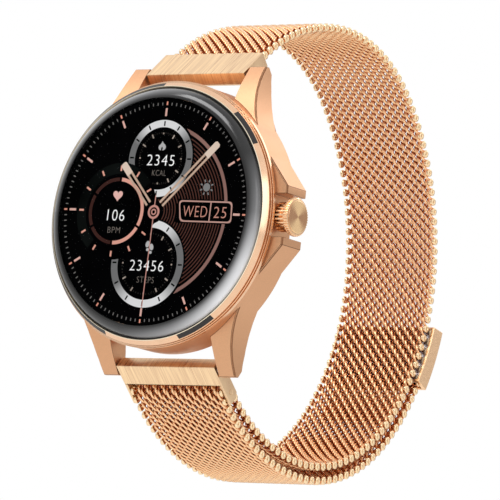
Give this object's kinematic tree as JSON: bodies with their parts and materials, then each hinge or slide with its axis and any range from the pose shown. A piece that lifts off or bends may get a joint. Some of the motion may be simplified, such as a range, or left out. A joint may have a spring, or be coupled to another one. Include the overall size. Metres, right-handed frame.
{
  "type": "smartwatch",
  "caption": "Round smartwatch with a domed glass, dark bezel inlays, a fluted push crown and a fine metal-mesh loop strap closed by a folding flap with a magnetic clasp.",
  "frame": {"origin": "centre of the flat rear sensor window, where the case rests on the wrist", "axes": "+X towards the crown at 3 o'clock, +Y from the glass towards the wrist, +Z towards 12 o'clock"},
  "size_m": [0.048, 0.0751, 0.0787],
  "materials": {
    "satin_case": "bead-blasted rose gold plating, satin",
    "polished_bezel": "polished and circular-brushed rose gold plating",
    "dark_inlay": "brushed dark inlay",
    "glass": "clear domed cover glass with a black printed rim",
    "black_rubber": "matt black seal",
    "display": "lit display",
    "chassis_metal": "matt die-cast",
    "board_green": "solder mask",
    "cell_grey": "wrapped cell",
    "steel": "machined steel",
    "black_plastic": "moulded",
    "rear_shell": "moulded shell in matching metallic paint",
    "dark_window": "dark smooth sensor window",
    "gold_contact": "plated contact",
    "crown_gold": "plated, fluted and toothed",
    "spun_gold": "spun face with radial sheen",
    "brushed_gold": "straight-brushed rose gold plating",
    "mesh_gold": "woven fine wire, rose gold plating"
  },
  "bodies": {
    "case": {"mid_case": "satin_case", "bezel_ring": "polished_bezel", "bezel_inlays": "dark_inlay", "cover_glass": "glass", "glass_gasket": "black_rubber", "display_panel": "display", "inner_chassis": "chassis_metal", "main_board": "board_green", "battery": "cell_grey", "vibration_motor": "steel", "speaker": "black_plastic", "rear_cover": "rear_shell", "rear_seal": "black_rubber", "rear_screws": "steel", "sensor_window": "dark_window", "sensor_board": "board_green", "charging_contacts": "gold_contact", "charging_magnets": "steel", "crown_tube": "gold_contact", "crown_guide": "chassis_metal", "crown_switch": "black_plastic", "spring_bar_tubes": "steel", "spring_bar_springs": "steel"},
    "crown_slide": {"crown_collar": "chassis_metal"},
    "crown": {"crown_knob": "crown_gold", "crown_cap": "spun_gold", "crown_stem": "steel", "crown_seal": "black_rubber"},
    "tip_top_left": {"tip_top_left": "steel"},
    "tip_top_right": {"tip_top_right": "steel"},
    "tip_bottom_left": {"tip_bottom_left": "steel"},
    "tip_bottom_right": {"tip_bottom_right": "steel"},
    "upper_strap": {"top_end_link": "brushed_gold", "strap_upper": "mesh_gold"},
    "back_strap": {"strap_back": "mesh_gold"},
    "lower_strap": {"strap_lower": "mesh_gold", "strap_fold": "mesh_gold", "clasp_ring": "brushed_gold", "ring_cross_bar": "brushed_gold"},
    "flap": {"strap_flap": "mesh_gold", "clasp_shell": "brushed_gold", "clasp_plate": "steel", "clasp_magnets": "steel"}
  },
  "joints": [
    {"name": "crown_press", "type": "slide", "parent": "case", "child": "crown_slide", "axis": [-1, 0, 0], "range_m": [0, 0.0004], "stiffness_N_per_m": 2500, "springref_m": -0.0002},
    {"name": "crown_turn", "type": "hinge", "parent": "crown_slide", "child": "crown", "pos_m": [0.022, -0.0054, 0], "axis": [1, 0, 0], "continuous": true},
    {"name": "tip_top_left_press", "type": "slide", "parent": "case", "child": "tip_top_left", "axis": [1, 0, 0], "range_m": [0, 0.0011], "stiffness_N_per_m": 300, "springref_m": -0.0005},
    {"name": "tip_top_right_press", "type": "slide", "parent": "case", "child": "tip_top_right", "axis": [-1, 0, 0], "range_m": [0, 0.0011], "stiffness_N_per_m": 300, "springref_m": -0.0005},
    {"name": "tip_bottom_left_press", "type": "slide", "parent": "case", "child": "tip_bottom_left", "axis": [1, 0, 0], "range_m": [0, 0.0011], "stiffness_N_per_m": 300, "springref_m": -0.0005},
    {"name": "tip_bottom_right_press", "type": "slide", "parent": "case", "child": "tip_bottom_right", "axis": [-1, 0, 0], "range_m": [0, 0.0011], "stiffness_N_per_m": 300, "springref_m": -0.0005},
    {"name": "strap_swing", "type": "hinge", "parent": "case", "child": "upper_strap", "pos_m": [0, -0.0013, 0.02475], "axis": [1, 0, 0], "range_deg": [-4, 4]},
    {"name": "upper_back_flex", "type": "hinge", "parent": "upper_strap", "child": "back_strap", "pos_m": [0, 0.04856, 0.02959], "axis": [1, 0, 0], "range_deg": [-5.74, 5.74]},
    {"name": "lower_back_flex", "type": "hinge", "parent": "back_strap", "child": "lower_strap", "pos_m": [0, 0.06086, -0.0001], "axis": [1, 0, 0], "range_deg": [-4.6, 4.6]},
    {"name": "flap_open", "type": "hinge", "parent": "lower_strap", "child": "flap", "pos_m": [0, 0.00241, -0.02795], "axis": [-1, 0, 0], "range_deg": [0, 55]}
  ],
  "couplings": [
    {"joint": "upper_back_flex", "follows": "strap_swing", "ratio": -1.4316},
    {"joint": "lower_back_flex", "follows": "strap_swing", "ratio": 1.1483}
  ]
}
